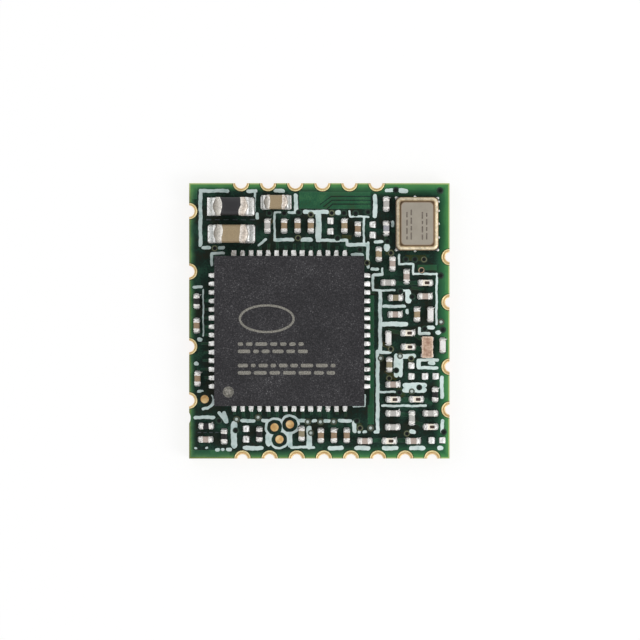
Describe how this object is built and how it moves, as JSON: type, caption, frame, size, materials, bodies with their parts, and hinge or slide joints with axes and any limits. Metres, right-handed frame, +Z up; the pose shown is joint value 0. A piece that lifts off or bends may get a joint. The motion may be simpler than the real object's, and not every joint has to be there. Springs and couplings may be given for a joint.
{
  "type": "wireless network module circuit board",
  "caption": "Small square castellated circuit board carrying a leadless radio chip, a quartz crystal and small chip parts, soldered flat onto a carrier board.",
  "frame": {"origin": "centre of the underside, on the plane that lies on the carrier board", "axes": "+Z up out of the component side, +Y along the longer side towards the side with the power inductor and the crystal, +X towards the radio path side"},
  "size_m": [0.0122, 0.013, 0.0018],
  "materials": {
    "laminate": "sawn glass epoxy edge",
    "solder_mask": "satin dark green lacquer",
    "gold_plate": "immersion gold over nickel",
    "tinned_copper": "plated copper",
    "white_ink": "printed white ink",
    "solder": "bright reflowed solder",
    "mould_compound": "fine matt moulding",
    "lead_frame": "matt tin over copper",
    "silicon": "polished silicon",
    "crystal_ceramic": "fired ceramic",
    "seal_ring": "gold plated ring",
    "steel_lid": "satin nickel plated",
    "quartz": "lapped quartz",
    "filter_ceramic": "fired ceramic with plated terminals",
    "ferrite": "ferrite with tinned ends",
    "resistor_glaze": "black glass coat with tinned ends",
    "inductor_ceramic": "pale ceramic with tinned ends",
    "capacitor_ceramic": "tan ceramic with tinned ends"
  },
  "bodies": {
    "root": {"bulk_capacitor": "capacitor_ceramic", "capacitor_01": "capacitor_ceramic", "capacitor_02": "capacitor_ceramic", "capacitor_03": "capacitor_ceramic", "capacitor_04": "capacitor_ceramic", "capacitor_05": "capacitor_ceramic", "capacitor_06": "capacitor_ceramic", "capacitor_07": "capacitor_ceramic", "capacitor_08": "capacitor_ceramic", "capacitor_09": "capacitor_ceramic", "capacitor_10": "capacitor_ceramic", "capacitor_11": "capacitor_ceramic", "capacitor_12": "capacitor_ceramic", "capacitor_13": "capacitor_ceramic", "capacitor_14": "capacitor_ceramic", "chip_body": "mould_compound", "chip_die": "silicon", "chip_lead_frame": "lead_frame", "circuit_board": "laminate", "copper_lands": "tinned_copper", "crystal_base": "crystal_ceramic", "crystal_blank": "quartz", "crystal_lid": "steel_lid", "crystal_seal_ring": "seal_ring", "diplexer": "filter_ceramic", "edge_contacts": "gold_plate", "inductor_01": "inductor_ceramic", "inductor_02": "inductor_ceramic", "inductor_03": "inductor_ceramic", "inductor_04": "inductor_ceramic", "inductor_05": "inductor_ceramic", "inductor_06": "inductor_ceramic", "inductor_07": "inductor_ceramic", "inductor_08": "inductor_ceramic", "inductor_09": "inductor_ceramic", "inductor_10": "inductor_ceramic", "inductor_11": "inductor_ceramic", "inductor_12": "inductor_ceramic", "inductor_13": "inductor_ceramic", "inductor_14": "inductor_ceramic", "marked_inductor_01": "inductor_ceramic", "marked_inductor_02": "inductor_ceramic", "marked_inductor_03": "inductor_ceramic", "marked_inductor_04": "inductor_ceramic", "marked_inductor_05": "inductor_ceramic", "marked_inductor_06": "inductor_ceramic", "marked_inductor_07": "inductor_ceramic", "north_capacitors": "capacitor_ceramic", "power_inductor": "ferrite", "resistor_01": "resistor_glaze", "resistor_02": "resistor_glaze", "resistor_03": "resistor_glaze", "resistor_04": "resistor_glaze", "resistor_05": "resistor_glaze", "silkscreen": "white_ink", "solder_joints": "solder", "solder_mask": "solder_mask", "south_capacitors": "capacitor_ceramic", "supply_capacitor": "capacitor_ceramic", "test_pads": "gold_plate"}
  },
  "joints": []
}
